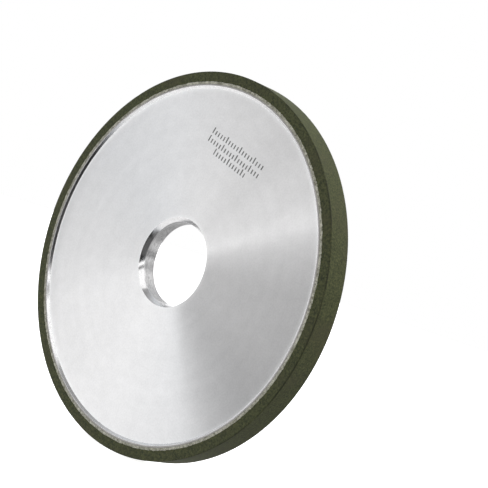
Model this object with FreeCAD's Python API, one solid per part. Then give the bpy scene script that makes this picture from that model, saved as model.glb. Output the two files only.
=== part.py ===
import FreeCAD, Part
import os

# A straight diamond grinding wheel, form 1A1, in millimetres.
#
# The wheel stands upright. Its axis is Y, and the origin is the centre of the bore, midway
# between the two faces. The marked face looks towards -Y. The wheel is the same on both
# sides, so each outline below is drawn for one side and mirrored in the mid-plane.
#
# Three pieces are bonded into one rigid wheel: a turned aluminium hub, a thin backing ring
# round it, and the diamond rim round that.

# Driving dimensions: the four sizes that a wheel of this form is ordered by.
WHEEL_DIAMETER = 150.0
WHEEL_WIDTH = 10.0
BORE_DIAMETER = 32.0
ABRASIVE_DEPTH = 4.0

# Details of the section.
BACKING_THICKNESS = 1.0  # radial thickness of the backing ring between metal and abrasive
LAND_WIDTH = 0.7  # width of the hub's flat land, just inside the backing ring
RECESS_DEPTH = 0.8  # how far each web face lies below the rim's face
BORE_CHAMFER = 1.5  # 45 degree chamfer at both mouths of the bore
EDGE_BREAK = 0.15  # 45 degree break on the abrasive's two outer edges

# Keying grooves round the outside of the hub, which the backing ring fills.
KEY_DEPTH = 0.6
KEY_MOUTH = 1.6
KEY_FLOOR = 0.8
KEY_OFFSET = 2.2  # distance of each groove's middle from the mid-plane

# Worked out from the above.
WHEEL_RADIUS = WHEEL_DIAMETER / 2
BORE_RADIUS = BORE_DIAMETER / 2
HALF_WIDTH = WHEEL_WIDTH / 2
HALF_WEB = HALF_WIDTH - RECESS_DEPTH
ABRASIVE_INNER = WHEEL_RADIUS - ABRASIVE_DEPTH
HUB_RADIUS = ABRASIVE_INNER - BACKING_THICKNESS
LAND_INNER = HUB_RADIUS - LAND_WIDTH
RECESS_FOOT = LAND_INNER - RECESS_DEPTH  # the recess wall slopes at 45 degrees

FULL_TURN = 360.0


def mirrored(half_outline):
    """Close a one-sided outline of (radius, distance from the mid-plane) by its mirror image."""
    near_side = [(radius, -distance) for radius, distance in half_outline]
    far_side = [(radius, distance) for radius, distance in reversed(half_outline)]
    return near_side + far_side


def turned(outline):
    """Turn a closed outline of (radius, height along the axis) about the Y axis."""
    corners = [FreeCAD.Vector(radius, along, 0) for radius, along in outline]
    section = Part.Face(Part.makePolygon(corners + corners[:1]))
    axis_point = FreeCAD.Vector(0, 0, 0)
    axis_direction = FreeCAD.Vector(0, 1, 0)
    return section.revolve(axis_point, axis_direction, FULL_TURN)


def key_line():
    """Outside of the hub on one side, from the rim's face in to the mid-plane, with its groove."""
    groove_radius = HUB_RADIUS - KEY_DEPTH
    return [
        (HUB_RADIUS, HALF_WIDTH),
        (HUB_RADIUS, KEY_OFFSET + KEY_MOUTH / 2),
        (groove_radius, KEY_OFFSET + KEY_FLOOR / 2),
        (groove_radius, KEY_OFFSET - KEY_FLOOR / 2),
        (HUB_RADIUS, KEY_OFFSET - KEY_MOUTH / 2),
    ]


def hub():
    """Aluminium disc: chamfered bore, relieved web, recess wall, land and keying grooves."""
    inside_to_land = [
        (BORE_RADIUS, HALF_WEB - BORE_CHAMFER),
        (BORE_RADIUS + BORE_CHAMFER, HALF_WEB),
        (RECESS_FOOT, HALF_WEB),
        (LAND_INNER, HALF_WIDTH),
    ]
    return turned(mirrored(inside_to_land + key_line()))


def backing_ring():
    """Diamond-free bond layer, moulded round the hub and into its keying grooves."""
    outside = [(ABRASIVE_INNER, HALF_WIDTH)]
    return turned(mirrored(outside + key_line()))


def abrasive_rim():
    """Resin-bond diamond layer, the full width of the wheel, with its outer edges just broken."""
    half_outline = [
        (ABRASIVE_INNER, HALF_WIDTH),
        (WHEEL_RADIUS - EDGE_BREAK, HALF_WIDTH),
        (WHEEL_RADIUS, HALF_WIDTH - EDGE_BREAK),
    ]
    return turned(mirrored(half_outline))


PIECES = {
    "hub": hub,
    "backing_ring": backing_ring,
    "abrasive_rim": abrasive_rim,
}

os.makedirs("parts", exist_ok=True)
for name, build in PIECES.items():
    solid = build()
    solid.exportStep(f"parts/{name}.step")
    print(f"{name}: volume {solid.Volume:.1f} mm3, valid {solid.isValid()}")
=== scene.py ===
import math
from collections import namedtuple

import bmesh
import bpy
from mathutils import Matrix, Vector, noise


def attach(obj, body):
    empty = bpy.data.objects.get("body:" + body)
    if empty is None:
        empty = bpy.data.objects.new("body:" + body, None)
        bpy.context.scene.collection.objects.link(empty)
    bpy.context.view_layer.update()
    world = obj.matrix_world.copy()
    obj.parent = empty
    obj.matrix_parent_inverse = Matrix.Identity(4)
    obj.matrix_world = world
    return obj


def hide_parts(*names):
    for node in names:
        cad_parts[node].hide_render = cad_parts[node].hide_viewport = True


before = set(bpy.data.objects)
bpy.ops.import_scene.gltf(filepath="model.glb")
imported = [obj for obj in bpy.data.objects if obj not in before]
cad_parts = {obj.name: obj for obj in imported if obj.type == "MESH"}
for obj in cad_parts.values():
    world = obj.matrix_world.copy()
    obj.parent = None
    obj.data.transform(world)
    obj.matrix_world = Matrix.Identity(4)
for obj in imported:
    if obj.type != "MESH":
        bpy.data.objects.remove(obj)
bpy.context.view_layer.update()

# The looks of a straight diamond grinding wheel. The wheel's axis is Y, and its marked face
# looks towards -Y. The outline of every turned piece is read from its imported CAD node, and
# the piece stands where that node does. Angles round the wheel run from +X towards +Z.

MM = 0.001
PLACES = 5  # decimals of a metre that tell two corners of the CAD apart

# Mesh detail.
HUB_SEGMENTS = 720  # steps round the hub
RIM_SEGMENTS = 1200  # steps round the backing ring and the abrasive
HUB_ROW = 1.5 * MM  # longest step along the hub's outline
RIM_ROW = 0.5 * MM  # longest step along the backing ring's and the rim's outlines
EDGE_RADIUS = 0.08 * MM  # rounding of every edge that shows, but the land's
LAND_EDGE_RADIUS = 0.15 * MM  # the polished edge between the recess wall and the land
EDGE_STEPS = 3  # steps round each rounded edge
SAME_PLACE = 0.01 * MM  # places closer than this are the same
SHARP_ANGLE = math.radians(10)  # machined faces keep crisp edges above this angle
ROUGH_ANGLE = math.radians(50)  # the same for the moulded bond

# Relief made in the mesh of the bonded layers.
GRAIN_HEIGHT = 0.012 * MM
GRAIN_SIZE = 0.5 * MM
RAGGED_HEIGHT = 0.24 * MM  # how far the border of the abrasive wanders
RAGGED_SIZE = 0.8 * MM
CHIP_DEPTH = 0.10 * MM  # small losses along the abrasive's outer edges
CHIP_SIZE = 1.5 * MM
CHIP_REACH = 0.35 * MM  # how far from the edge they go
CHIP_THRESHOLD = 0.25  # noise above this is a loss

# The etched mark: three rows of plain ticks, as (distance from the axis, length).
MARK_ANGLE = math.radians(72.8)
MARK_ROWS = ((50.3 * MM, 29.9 * MM), (46.9 * MM, 30.7 * MM), (43.9 * MM, 18.4 * MM))
TICK_PITCH = 1.7 * MM
TICK_WIDTH = 0.55 * MM
TICK_SHORT = 1.7 * MM
TICK_TALL = 2.5 * MM
TALL_EVERY = 5  # every fifth tick is a tall one
TICK_PROUD = 0.01 * MM  # above the web
TICK_SUNK = 0.01 * MM  # below it

# The camera.
CAMERA_AZIMUTH = math.radians(41.79)  # from -Y towards +X
CAMERA_ROLL = math.radians(17.72)
CAMERA_DEPTH = 472.7 * MM  # from the marked face's centre, along the camera's own axis
AIM_RIGHT = 27.95 * MM  # how far the camera's axis passes beside and above that centre
AIM_UP = 6.64 * MM
CAMERA_LENS = 91.93  # millimetres, as Blender has it
CAMERA_SENSOR = 36.0

# The studio: soft-edged panels all round the wheel, placed to give its turned faces the
# light and dark fan of the photo. Angles are in degrees, azimuth from -Y towards +X.
# Where panels overlap, the later one covers the earlier.
AMBIENT = 0.8
AMBIENT_WARMTH = -0.03  # slightly cool
PANEL_WARMTH = 0.004
Panel = namedtuple("Panel", "azimuth elevation half_width half_height roll softness radiance")
PANELS = {
    "dim_behind": Panel(165, -10, 60, 60, 0, 6, 0.5),
    "dark_behind_low": Panel(170, -45, 60, 12, 0, 4, 0.42),
    "bright_behind_low": Panel(160, -20, 50, 9, 0, 4, 0.85),
    "dark_behind_middle": Panel(150, -1, 45, 6, 0, 2, 0.35),
    "bright_behind_strip": Panel(150, 12, 45, 4, 0, 2, 1.0),
    "dark_behind_high": Panel(165, 36, 60, 18, 0, 6, 0.45),
    "dark_right_low": Panel(84, -26, 42, 38, 0, 6, 0.2),
    "bright_right_high": Panel(106, 58, 20, 20, 0, 6, 4.0),
    "bright_left_behind": Panel(-119, 10, 13, 40, 0, 4, 2.2),
    "dark_front": Panel(7, 4, 43, 46, 4, 2, 0.02),
    "dim_front_right": Panel(42, -14, 8, 18, 0, 3, 0.13),
    "dark_upper_left": Panel(-14, 53, 50, 22, 33, 14, 0.37),
    "bright_left": Panel(-37, 1, 11, 11, -5, 6, 2.2),
    "bright_low": Panel(-73, -50, 36, 54, 27, 9, 1.05),
    "bright_strip": Panel(47, 22, 44, 6, -11, 2, 2.1),
    "bright_upper_right": Panel(35, 43, 25, 17, -31, 2, 1.3),
    "dark_gap": Panel(38, 26, 16, 3, 0, 1, 0.15),
}
FLOOR_SIZE = 6.0  # metres
FLOOR_CELLS = 8  # along each side
FLOOR_GLOW = 0.92  # keeps the floor as white as the photo's background
FLOOR_MOTTLE_SCALE = 30
WHITE = (1, 1, 1, 1)


# Outlines, read from the CAD

def outline_place(radius, along):
    """A corner's (radius, distance from the mid-plane), rounded so that equal corners match."""
    return round(radius, PLACES), round(abs(along), PLACES)


def corners(node):
    """The (radius, distance from the mid-plane) corners of a turned CAD node's section."""
    places = [vertex.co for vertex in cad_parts[node].data.vertices]
    return {outline_place(math.hypot(place.x, place.z), place.y) for place in places}


def seam_line():
    """The joint between the hub and the backing ring, from the face in to the mid-plane."""
    ring = corners("backing_ring")
    outer_radius = max(ring)[0]
    inner_corners = [corner for corner in ring if corner[0] < outer_radius]
    return sorted(inner_corners, key=lambda corner: -corner[1])


SEAM = seam_line()
HUB_FACE = sorted(corners("hub") - set(SEAM))
BORE_MOUTH, WEB_INNER, RECESS_FOOT, LAND_INNER = HUB_FACE
RIM_FACE = sorted(corners("abrasive_rim"))
HALF_WIDTH = SEAM[0][1]
HALF_WEB = WEB_INNER[1]
BORE_RADIUS = BORE_MOUTH[0]
HUB_RADIUS = SEAM[0][0]
ABRASIVE_INNER = RIM_FACE[0][0]
WHEEL_RADIUS = max(RIM_FACE)[0]


def mirrored(half_outline):
    """Close a one-sided outline by its mirror image in the mid-plane."""
    near = [Vector((radius, -distance)) for radius, distance in half_outline]
    far = [Vector((radius, distance)) for radius, distance in reversed(half_outline)]
    return near + far


def arc_at(before, corner, after, radius):
    """The short arc that rounds one corner of an outline."""
    back = (before - corner).normalized()
    ahead = (after - corner).normalized()
    half = back.angle(ahead) / 2
    reach = radius / math.tan(half)
    centre = corner + (back + ahead).normalized() * radius / math.sin(half)
    start = corner + back * reach - centre
    end = corner + ahead * reach - centre
    turns = [step / EDGE_STEPS for step in range(EDGE_STEPS + 1)]
    return [centre + start.slerp(end, turn) * radius for turn in turns]


def rounded(outline, radii):
    """Round the corners of an outline that have a radius in radii, and keep the rest."""
    points = []
    for index, corner in enumerate(outline):
        place = outline_place(corner.x, corner.y)
        if place in radii:
            after = outline[(index + 1) % len(outline)]
            points += arc_at(outline[index - 1], corner, after, radii[place])
        else:
            points.append(corner)
    return points


def divided(outline, longest):
    """Cut every side of a closed outline into equal steps no longer than longest."""
    points = []
    for index, start in enumerate(outline):
        end = outline[(index + 1) % len(outline)]
        steps = max(1, math.ceil((end - start).length / longest))
        points += [start.lerp(end, step / steps) for step in range(steps)]
    return points


# Mesh helpers

def lathe(name, outline, segments, sharp_angle):
    """Turn a closed outline of (radius, along) about the Y axis into a mesh object."""
    rows = len(outline)
    turns = [math.tau * turn / segments for turn in range(segments)]
    points = [
        (radius * math.cos(turn), along, radius * math.sin(turn))
        for turn in turns
        for radius, along in outline
    ]
    faces = []
    for turn in range(segments):
        here = turn * rows
        there = (turn + 1) % segments * rows
        for row in range(rows):
            following = (row + 1) % rows
            faces.append((here + row, here + following, there + following, there + row))
    mesh = bpy.data.meshes.new(name)
    mesh.from_pydata(points, [], faces)
    mesh.shade_smooth()
    mesh.set_sharp_from_angle(angle=sharp_angle)
    piece = bpy.data.objects.new(name, mesh)
    bpy.context.scene.collection.objects.link(piece)
    return piece


def ragged(point):
    """How far the abrasive's inner border wanders outwards near this point."""
    return RAGGED_HEIGHT * noise.noise(point / RAGGED_SIZE)


def wander(piece):
    """Move the border between the backing ring and the abrasive, alike in both pieces."""
    for vertex in piece.data.vertices:
        out = Vector((vertex.co.x, 0, vertex.co.z))
        if abs(out.length - ABRASIVE_INNER) < 2 * EDGE_RADIUS:
            on_border = out.normalized() * ABRASIVE_INNER + Vector((0, vertex.co.y, 0))
            vertex.co += out.normalized() * ragged(on_border)


def chip(point):
    """Depth of the small losses along the abrasive's outer edges, 0 away from them."""
    radius = math.hypot(point.x, point.z)
    from_edge = math.hypot(WHEEL_RADIUS - radius, HALF_WIDTH - abs(point.y))
    if from_edge > CHIP_REACH:
        return 0.0
    excess = noise.noise(point / CHIP_SIZE) - CHIP_THRESHOLD
    return CHIP_DEPTH * max(0.0, excess) * (1 - from_edge / CHIP_REACH)


def weather(piece):
    """Give the abrasive's outside its granular relief and its slightly broken edges."""
    mesh = piece.data
    inside = ABRASIVE_INNER + 2 * RAGGED_HEIGHT
    normals = [vertex.normal.copy() for vertex in mesh.vertices]
    for vertex, normal in zip(mesh.vertices, normals):
        if math.hypot(vertex.co.x, vertex.co.z) > inside:
            grain = GRAIN_HEIGHT * noise.noise(vertex.co / GRAIN_SIZE)
            vertex.co += normal * (grain - chip(vertex.co))


def paint(piece, materials, choose):
    """Give a piece its materials, and each face the one that choose(radius) names."""
    names = list(materials)
    for name in names:
        piece.data.materials.append(materials[name])
    for face in piece.data.polygons:
        chosen = choose(math.hypot(face.center.x, face.center.z))
        face.material_index = names.index(chosen)


# Node trees

class Graph:
    """Builds a node tree. Inputs are given by socket name or number, as values or sockets."""

    def __init__(self, tree):
        self.tree = tree
        tree.nodes.clear()

    def node(self, kind, inputs, output=0, **settings):
        made = self.tree.nodes.new(kind)
        for key, value in settings.items():
            setattr(made, key, value)
        for key, value in inputs.items():
            if isinstance(value, bpy.types.NodeSocket):
                self.tree.links.new(value, made.inputs[key])
            else:
                made.inputs[key].default_value = value
        return made.outputs[output]

    def math(self, operation, first, second=0.0):
        return self.node("ShaderNodeMath", {0: first, 1: second}, operation=operation)

    def vector(self, operation, first, second=(0, 0, 0)):
        return self.node("ShaderNodeVectorMath", {0: first, 1: second}, operation=operation)

    def dot(self, first, second):
        inputs = {0: first, 1: second}
        return self.node("ShaderNodeVectorMath", inputs, "Value", operation="DOT_PRODUCT")

    def scaled(self, vector, factor):
        inputs = {0: vector, "Scale": factor}
        return self.node("ShaderNodeVectorMath", inputs, operation="SCALE")

    def noise(self, vector, scale, detail=2.0, roughness=0.5):
        """3-D noise, about 0.5 on average. scale is in repeats per metre."""
        inputs = {"Vector": vector, "Scale": scale, "Detail": detail, "Roughness": roughness}
        return self.node("ShaderNodeTexNoise", inputs, noise_dimensions="3D")

    def noise_along(self, distance, scale, detail=2.0):
        """Noise that changes only with distance, so it makes rings."""
        inputs = {"W": distance, "Scale": scale, "Detail": detail}
        return self.node("ShaderNodeTexNoise", inputs, noise_dimensions="1D")

    def weighted(self, parts):
        """The sum of (value, weight) parts."""
        total = 0.0
        for value, weight in parts:
            inputs = {0: value, 1: weight, 2: total}
            total = self.node("ShaderNodeMath", inputs, operation="MULTIPLY_ADD")
        return total

    def span(self, value, low, high, to_low, to_high, smooth=False):
        inputs = {"Value": value, 1: low, 2: high, 3: to_low, 4: to_high}
        kind = "SMOOTHSTEP" if smooth else "LINEAR"
        return self.node("ShaderNodeMapRange", inputs, interpolation_type=kind)

    def mix(self, factor, first, second):
        """Mix two colours."""
        inputs = {0: factor, 6: first, 7: second}
        return self.node("ShaderNodeMix", inputs, output=2, data_type="RGBA")

    def bump(self, height, distance, normal=None):
        inputs = {"Height": height, "Distance": distance, "Strength": 1.0}
        if normal is not None:
            inputs["Normal"] = normal
        return self.node("ShaderNodeBump", inputs)

    def point(self):
        """The place on the object, in metres."""
        return self.node("ShaderNodeTexCoord", {}, "Object")

    def show(self, output_kind, shader):
        """End the tree with an output node of this kind that shows the shader."""
        output = self.tree.nodes.new(output_kind)
        self.tree.links.new(shader, output.inputs["Surface"])


def grey(value, warmth=0.0):
    """A neutral colour, slightly warm above 0 and slightly cool below."""
    return (value * (1 + warmth), value, value * (1 - warmth), 1)


def new_material(name, build):
    """A material whose surface is the shader that build(graph) returns."""
    material = bpy.data.materials.new(name)
    material.use_nodes = True
    graph = Graph(material.node_tree)
    graph.show("ShaderNodeOutputMaterial", build(graph))
    return material


# Materials. Scales are in repeats per metre, and a colour has its opacity as its last number.

METAL_TONE = 0.78
METAL_TINT = (1.0, 0.998, 1.005)  # red, green and blue, times the tone
WEB_TILT = math.tan(math.radians(10))  # the web's feed marks lean outwards by this much
FEED_SCALE = 9000  # the tool's fine feed marks
FEED_ALONG_AXIS = 0.45  # how fast they change along the axis, against away from it
BAND_SCALE = 160  # broad rings, where the tool cut a little differently
BAND_HEIGHT = 0.001 * MM
SMUDGE_SCALE = 60
STREAK_SCALE = 240
STREAK_STRETCH = (1, 9, 1)
FINE_SCALE = 1400
WEAR = 0.012  # how far smudges and rings move the roughness up or down
ACROSS_MARKS = 0.25  # of a turn, from along the feed marks: highlights stretch this way

LAND_DARK = grey(0.42, 0.04)
LAND_LIGHT = grey(0.64, 0.03)
LAND_GRAIN_SCALE = 2200
LAND_BLOTCH_SCALE = 260
LAND_GRAIN_HEIGHT = 0.006 * MM

# Painted shade: a thin dark line in the colour where the hub meets the backing ring, standing in
# for the shadow in the joint.
SEAM_SHADE_COLOUR = (0.07, 0.065, 0.055, 1)
SEAM_SHADE_REACH = 0.13 * MM  # half the width of the painted shade along the joint
SEAM_SHADE_CORE = 0.3 * SEAM_SHADE_REACH
SEAM_SHADE_STRENGTH = 0.35

FILLED_DARK = (0.24, 0.235, 0.17, 1)
FILLED_LIGHT = (0.74, 0.73, 0.62, 1)
FILLED_GRAIN_SCALE = 2400
FILLED_BLOTCH_SCALE = 900
FILLED_GRAIN_HEIGHT = 0.01 * MM

BOND_DARK = (0.022, 0.028, 0.007, 1)
BOND_LIGHT = (0.124, 0.135, 0.055, 1)
BOND_BROWN = (0.080, 0.074, 0.038, 1)
BOND_GLOSS = 0.28
GRIT_COLOUR = (0.20, 0.20, 0.14, 1)
GRIT_SCALE = 3600
GRIT_HEIGHT = 0.02 * MM
SPECK_SCALE = 1500
SPECK_HEIGHT = 0.03 * MM
PATCH_SCALE = 70

# Painted shade: the abrasive's colour darkens in broken patches towards its two outer edges,
# where the edge turns away from the light.
EDGE_SHADE_COLOUR = (0.018, 0.020, 0.008, 1)
EDGE_SHADE_REACH = 0.7 * MM  # how far the painted shade spreads from an outer edge
EDGE_SHADE_STRENGTH = 0.8
EDGE_SHADE_PATCH_SCALE = 90

ETCHED_DARK = grey(0.14)
ETCHED_LIGHT = grey(0.26)
ETCHED_GRAIN_SCALE = 4000
ETCHED_GRAIN_HEIGHT = 0.004 * MM

DULLED = 0.3  # metallic share of metal that is dressed or burnt dull


def metal_colour(tone):
    """Bare aluminium of this tone."""
    return tuple(tone * part for part in METAL_TINT) + (1,)


def away_from_axis(graph, point):
    """The part of a place that is square to the wheel's axis."""
    return graph.vector("MULTIPLY", point, (1, 0, 1))


def outward(graph, point):
    """Unit vector away from the wheel's axis."""
    return graph.vector("NORMALIZE", away_from_axis(graph, point))


def radius_at(graph, point):
    """Distance from the wheel's axis."""
    inputs = {0: away_from_axis(graph, point)}
    return graph.node("ShaderNodeVectorMath", inputs, "Value", operation="LENGTH")


def groove_place(graph, point):
    """A distance that changes across the feed marks on every turned face, flat or round."""
    along = graph.dot(point, (0, FEED_ALONG_AXIS, 0))
    return graph.math("ADD", radius_at(graph, point), along)


def leaning_normal(graph, point, place, tilt, groove_slope):
    """The surface's normal, leaned outwards by tilt and unevenly by the feed marks."""
    grooves = graph.noise_along(place, FEED_SCALE, detail=3.0)
    slope = graph.span(grooves, 0.0, 1.0, tilt - groove_slope, tilt + groove_slope)
    lean = graph.scaled(outward(graph, point), slope)
    normal = graph.node("ShaderNodeNewGeometry", {}, "Normal")
    return graph.vector("NORMALIZE", graph.vector("ADD", normal, lean))


def turned_metal(graph, roughness, anisotropy, tilt, groove_slope, unevenness):
    """Turned aluminium, with its feed marks running round the axis."""
    point = graph.point()
    place = groove_place(graph, point)
    bands = graph.noise_along(place, BAND_SCALE, detail=4.0)
    smudges = graph.noise(point, SMUDGE_SCALE, detail=5.0, roughness=0.6)
    fine = graph.noise(point, FINE_SCALE, detail=3.0, roughness=0.7)
    stretched = graph.vector("MULTIPLY", point, STREAK_STRETCH)
    streaks = graph.noise(stretched, STREAK_SCALE, detail=4.0, roughness=0.6)

    tone = graph.weighted(((bands, 0.15), (smudges, 0.2), (streaks, 0.25), (fine, 0.4)))
    dull = metal_colour(METAL_TONE * (1 - unevenness))
    bright = metal_colour(METAL_TONE * (1 + unevenness))
    wear = graph.weighted(((smudges, 0.7), (bands, 0.3)))
    leaning = leaning_normal(graph, point, place, tilt, groove_slope)
    inputs = {
        "Base Color": graph.mix(graph.span(tone, 0.38, 0.62, 0, 1), dull, bright),
        "Metallic": 1.0,
        "Roughness": graph.math("ADD", graph.span(wear, 0.3, 0.7, -WEAR, WEAR), roughness),
        "Anisotropic": anisotropy,
        "Anisotropic Rotation": ACROSS_MARKS,
        "Tangent": graph.node("ShaderNodeTangent", {}, direction_type="RADIAL", axis="Y"),
        "Normal": graph.bump(bands, BAND_HEIGHT, leaning),
    }
    return graph.node("ShaderNodeBsdfPrincipled", inputs)


def web_metal(graph):
    """The two big faces. Their coarse feed marks spread reflections into a fan."""
    return turned_metal(
        graph, roughness=0.29, anisotropy=1.0, tilt=WEB_TILT, groove_slope=0.05, unevenness=0.07
    )


def chamfer_metal(graph):
    """The chamfers at the bore's mouths, cut finer and brighter."""
    return turned_metal(
        graph, roughness=0.16, anisotropy=0.6, tilt=0.0, groove_slope=0.05, unevenness=0.12
    )


def wall_metal(graph):
    """The sloping wall between the web and the land."""
    return turned_metal(
        graph, roughness=0.18, anisotropy=0.85, tilt=0.0, groove_slope=0.05, unevenness=0.12
    )


def bore_metal(graph):
    """The bore's wall, which is streaky."""
    return turned_metal(
        graph, roughness=0.29, anisotropy=0.5, tilt=0.0, groove_slope=0.0, unevenness=0.4
    )


def painted_seam_shade(graph, point):
    """Above 0 in the painted shade at the hub's joint with the backing ring, 0 beside it."""
    beside = graph.math("SUBTRACT", radius_at(graph, point), HUB_RADIUS)
    beside = graph.math("ABSOLUTE", beside)
    return graph.span(beside, SEAM_SHADE_CORE, SEAM_SHADE_REACH, SEAM_SHADE_STRENGTH, 0.0, smooth=True)


def land_metal(graph):
    """The hub's narrow land, dressed flush with the bond by a coarse stone."""
    point = graph.point()
    grain = graph.noise(point, LAND_GRAIN_SCALE, detail=3.0)
    blotch = graph.noise(point, LAND_BLOTCH_SCALE, detail=3.0)
    mixed = graph.weighted(((grain, 0.6), (blotch, 0.4)))
    metal = graph.mix(graph.span(mixed, 0.35, 0.65, 0, 1), LAND_DARK, LAND_LIGHT)
    # The base colour carries painted shade at the joint with the backing ring.
    inputs = {
        "Base Color": graph.mix(painted_seam_shade(graph, point), metal, SEAM_SHADE_COLOUR),
        "Metallic": DULLED,
        "Roughness": graph.span(grain, 0.3, 0.7, 0.5, 0.75),
        "Normal": graph.bump(grain, LAND_GRAIN_HEIGHT),
    }
    return graph.node("ShaderNodeBsdfPrincipled", inputs)


def filled_bond(graph):
    """The backing ring: bond with a pale metal filler, speckled and matte."""
    point = graph.point()
    grain = graph.noise(point, FILLED_GRAIN_SCALE, detail=2.0)
    blotch = graph.noise(point, FILLED_BLOTCH_SCALE, detail=2.0)
    mixed = graph.weighted(((grain, 0.5), (blotch, 0.5)))
    bond = graph.mix(graph.span(mixed, 0.4, 0.6, 0, 1), FILLED_DARK, FILLED_LIGHT)
    # The base colour carries painted shade at the joint with the hub.
    inputs = {
        "Base Color": graph.mix(painted_seam_shade(graph, point), bond, SEAM_SHADE_COLOUR),
        "Metallic": 0.0,
        "Roughness": graph.span(grain, 0.3, 0.7, 0.6, 0.85),
        "Normal": graph.bump(grain, FILLED_GRAIN_HEIGHT),
    }
    return graph.node("ShaderNodeBsdfPrincipled", inputs)


def painted_edge_shade(graph, point):
    """Above 0 in the painted shade on the abrasive's two outer edges, 0 on its faces."""
    width = graph.math("ABSOLUTE", graph.dot(point, (0, 1, 0)))
    outwards = graph.math("ADD", radius_at(graph, point), width)
    corner = WHEEL_RADIUS + HALF_WIDTH
    shade = graph.span(outwards, corner - EDGE_SHADE_REACH, corner, 0.0, EDGE_SHADE_STRENGTH, smooth=True)
    patches = graph.noise(point, EDGE_SHADE_PATCH_SCALE, detail=4.0)
    return graph.math("MULTIPLY", shade, graph.span(patches, 0.42, 0.58, 0.2, 1.0))


def diamond_bond(graph):
    """The abrasive: olive green bond with fine grit, a little lighter and browner in patches."""
    point = graph.point()
    grit = graph.noise(point, GRIT_SCALE, detail=2.0, roughness=0.6)
    speck = graph.noise(point, SPECK_SCALE, detail=4.0, roughness=0.7)
    patch = graph.noise(point, PATCH_SCALE, detail=4.0)
    green = graph.mix(graph.span(speck, 0.35, 0.68, 0, 1), BOND_DARK, BOND_LIGHT)
    browner = graph.mix(graph.span(patch, 0.48, 0.72, 0, 0.55), green, BOND_BROWN)
    gritty = graph.mix(graph.span(grit, 0.66, 0.78, 0, 0.5), browner, GRIT_COLOUR)
    relief = graph.bump(grit, GRIT_HEIGHT)
    # The base colour carries painted shade along the two outer edges.
    inputs = {
        "Base Color": graph.mix(painted_edge_shade(graph, point), gritty, EDGE_SHADE_COLOUR),
        "Metallic": 0.0,
        "Roughness": graph.span(speck, 0.3, 0.7, 0.5, 0.72),
        "Specular IOR Level": BOND_GLOSS,
        "Normal": graph.bump(speck, SPECK_HEIGHT, relief),
    }
    return graph.node("ShaderNodeBsdfPrincipled", inputs)


def etched_grey(graph):
    """Laser-etched aluminium: dull, darker than the web, slightly uneven."""
    point = graph.point()
    grain = graph.noise(point, ETCHED_GRAIN_SCALE, detail=2.0)
    inputs = {
        "Base Color": graph.mix(grain, ETCHED_DARK, ETCHED_LIGHT),
        "Metallic": DULLED,
        "Roughness": graph.span(grain, 0.3, 0.7, 0.55, 0.75),
        "Normal": graph.bump(grain, ETCHED_GRAIN_HEIGHT),
    }
    return graph.node("ShaderNodeBsdfPrincipled", inputs)


# Pieces

def hub_finish(radius):
    """The finish of the hub at this radius."""
    if radius < BORE_RADIUS + SAME_PLACE:
        return "bore"
    if radius < WEB_INNER[0] + EDGE_RADIUS:
        return "chamfer"
    if radius > LAND_INNER[0] + LAND_EDGE_RADIUS / 2:
        return "land"
    return "web" if radius < RECESS_FOOT[0] - EDGE_RADIUS else "wall"


def make_hub():
    """The turned body: bore, chamfers, webs, recess walls and lands, one finish for each."""
    radii = dict.fromkeys(HUB_FACE + [SEAM[0]], EDGE_RADIUS)
    radii[LAND_INNER] = LAND_EDGE_RADIUS
    outline = divided(rounded(mirrored(HUB_FACE + SEAM), radii), HUB_ROW)
    piece = lathe("turned_hub", outline, HUB_SEGMENTS, SHARP_ANGLE)
    finishes = {
        "web": new_material("web_metal", web_metal),
        "chamfer": new_material("chamfer_metal", chamfer_metal),
        "bore": new_material("bore_metal", bore_metal),
        "wall": new_material("wall_metal", wall_metal),
        "land": new_material("land_metal", land_metal),
    }
    paint(piece, finishes, hub_finish)
    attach(piece, "root")
    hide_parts("hub")


def make_backing_ring():
    """The thin ring between the hub and the abrasive, with its ragged outer border."""
    border = (ABRASIVE_INNER, HALF_WIDTH)
    radii = dict.fromkeys((border, SEAM[0]), EDGE_RADIUS)
    outline = divided(rounded(mirrored([border] + SEAM), radii), RIM_ROW)
    piece = lathe("filled_backing_ring", outline, RIM_SEGMENTS, ROUGH_ANGLE)
    wander(piece)
    piece.data.materials.append(new_material("filled_bond", filled_bond))
    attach(piece, "root")
    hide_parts("backing_ring")


def make_abrasive_rim():
    """The diamond layer, with its grain and its small losses."""
    radii = dict.fromkeys(RIM_FACE, EDGE_RADIUS)
    outline = divided(rounded(mirrored(RIM_FACE), radii), RIM_ROW)
    piece = lathe("diamond_rim", outline, RIM_SEGMENTS, ROUGH_ANGLE)
    wander(piece)
    weather(piece)
    piece.data.materials.append(new_material("diamond_bond", diamond_bond))
    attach(piece, "root")
    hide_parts("abrasive_rim")


def add_tick(builder, middle, across, upward, height):
    """One etched tick, a very thin bar that stands on the web."""
    web_normal = Vector((0, -1, 0))
    depth = web_normal * (TICK_PROUD + TICK_SUNK)
    lift = web_normal * (TICK_PROUD - TICK_SUNK) / 2
    bar = Matrix((across * TICK_WIDTH, depth, upward * height))
    place = Matrix.Translation(middle + lift) @ bar.transposed().to_4x4()
    bmesh.ops.create_cube(builder, size=1.0, matrix=place)


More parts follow.
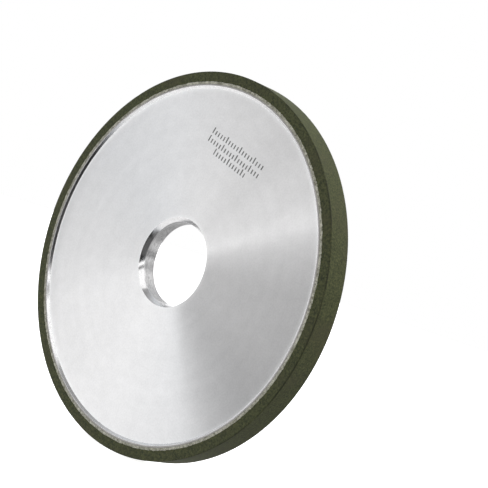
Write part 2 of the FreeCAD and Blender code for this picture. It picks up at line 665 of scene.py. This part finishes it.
def make_etched_mark():
    """Rows of plain ticks on the marked face, in place of its etched text."""
    upward = Vector((math.cos(MARK_ANGLE), 0, math.sin(MARK_ANGLE)))
    across = Vector((upward.z, 0, -upward.x))
    builder = bmesh.new()
    for radius, length in MARK_ROWS:
        foot = upward * (radius - TICK_TALL / 2) + Vector((0, -HALF_WEB, 0))
        count = round(length / TICK_PITCH)
        for index in range(count + 1):
            height = TICK_SHORT if index % TALL_EVERY else TICK_TALL
            beside = across * (index - count / 2) * TICK_PITCH
            add_tick(builder, foot + beside + upward * height / 2, across, upward, height)
    bmesh.ops.recalc_face_normals(builder, faces=builder.faces)
    mesh = bpy.data.meshes.new("etched_mark")
    builder.to_mesh(mesh)
    builder.free()
    piece = bpy.data.objects.new("etched_mark", mesh)
    bpy.context.scene.collection.objects.link(piece)
    mesh.materials.append(new_material("etched_grey", etched_grey))
    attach(piece, "root")


# Studio

def panel_axes(panel):
    """Unit vectors to a panel's middle, along its width and along its height."""
    turn = Matrix.Rotation(math.radians(panel.azimuth), 3, "Z")
    turn = turn @ Matrix.Rotation(-math.radians(panel.elevation), 3, "X")
    turn = turn @ Matrix.Rotation(-math.radians(panel.roll), 3, "Y")
    return turn @ Vector((0, -1, 0)), turn @ Vector((1, 0, 0)), turn @ Vector((0, 0, 1))


def panel_side(graph, ahead, aside, half_size, softness):
    """1 between two opposite edges of a panel and 0 beyond them, with a soft change."""
    angle = graph.math("ARCTAN2", graph.math("ABSOLUTE", aside), ahead)
    inside = math.radians(half_size - softness)
    outside = math.radians(half_size + softness)
    return graph.span(angle, inside, outside, 1.0, 0.0, smooth=True)


def panel_mask(graph, direction, panel):
    """1 inside a panel and 0 outside it."""
    middle, across, upward = panel_axes(panel)
    ahead = graph.dot(direction, middle)
    width = graph.dot(direction, across)
    height = graph.dot(direction, upward)
    return graph.math(
        "MULTIPLY",
        panel_side(graph, ahead, width, panel.half_width, panel.softness),
        panel_side(graph, ahead, height, panel.half_height, panel.softness),
    )


def make_studio():
    """Light from the panels, and plain white wherever the camera sees past the wheel."""
    world = bpy.data.worlds.new("studio")
    world.use_nodes = True
    bpy.context.scene.world = world
    graph = Graph(world.node_tree)
    direction = graph.node("ShaderNodeTexCoord", {}, "Generated")
    light = grey(AMBIENT, AMBIENT_WARMTH)
    for panel in PANELS.values():
        mask = panel_mask(graph, direction, panel)
        light = graph.mix(mask, light, grey(panel.radiance, PANEL_WARMTH))
    seen = graph.node("ShaderNodeLightPath", {}, "Is Camera Ray")
    shown = graph.mix(seen, light, WHITE)
    background = graph.node("ShaderNodeBackground", {"Color": shown, "Strength": 1.0})
    graph.show("ShaderNodeOutputWorld", background)


def floor_finish(graph):
    """Plain pale floor, near white in this light."""
    mottle = graph.noise(graph.point(), FLOOR_MOTTLE_SCALE, detail=3.0)
    inputs = {
        "Base Color": graph.mix(mottle, grey(0.86), grey(0.90)),
        "Roughness": 0.9,
        "Emission Color": WHITE,
        "Emission Strength": FLOOR_GLOW,
    }
    return graph.node("ShaderNodeBsdfPrincipled", inputs)


def make_floor():
    """A floor that the camera sees, and that neither lights the wheel nor shows in it."""
    builder = bmesh.new()
    bmesh.ops.create_grid(
        builder, x_segments=FLOOR_CELLS, y_segments=FLOOR_CELLS, size=FLOOR_SIZE / 2
    )
    mesh = bpy.data.meshes.new("floor")
    builder.to_mesh(mesh)
    builder.free()
    mesh.materials.append(new_material("floor_finish", floor_finish))
    floor = bpy.data.objects.new("floor", mesh)
    floor.location.z = -WHEEL_RADIUS
    floor.visible_glossy = False
    floor.visible_diffuse = False
    bpy.context.scene.collection.objects.link(floor)


def make_camera():
    """The photo's view of the wheel, with the photo's lean as camera roll."""
    data = bpy.data.cameras.new("camera")
    data.lens = CAMERA_LENS
    data.sensor_width = CAMERA_SENSOR
    camera = bpy.data.objects.new("camera", data)
    upright = Matrix.Rotation(math.radians(90), 4, "X")
    roll = Matrix.Rotation(CAMERA_ROLL, 4, "Z")
    turn = Matrix.Rotation(CAMERA_AZIMUTH, 4, "Z") @ upright @ roll
    face_centre = Vector((0, -HALF_WIDTH, 0))
    place = face_centre + turn @ Vector((AIM_RIGHT, AIM_UP, CAMERA_DEPTH))
    camera.matrix_world = Matrix.Translation(place) @ turn
    bpy.context.scene.collection.objects.link(camera)
    bpy.context.scene.camera = camera


bpy.context.scene.view_settings.view_transform = "Standard"

make_camera()
make_studio()
make_floor()
make_hub()
make_backing_ring()
make_abrasive_rim()
make_etched_mark()
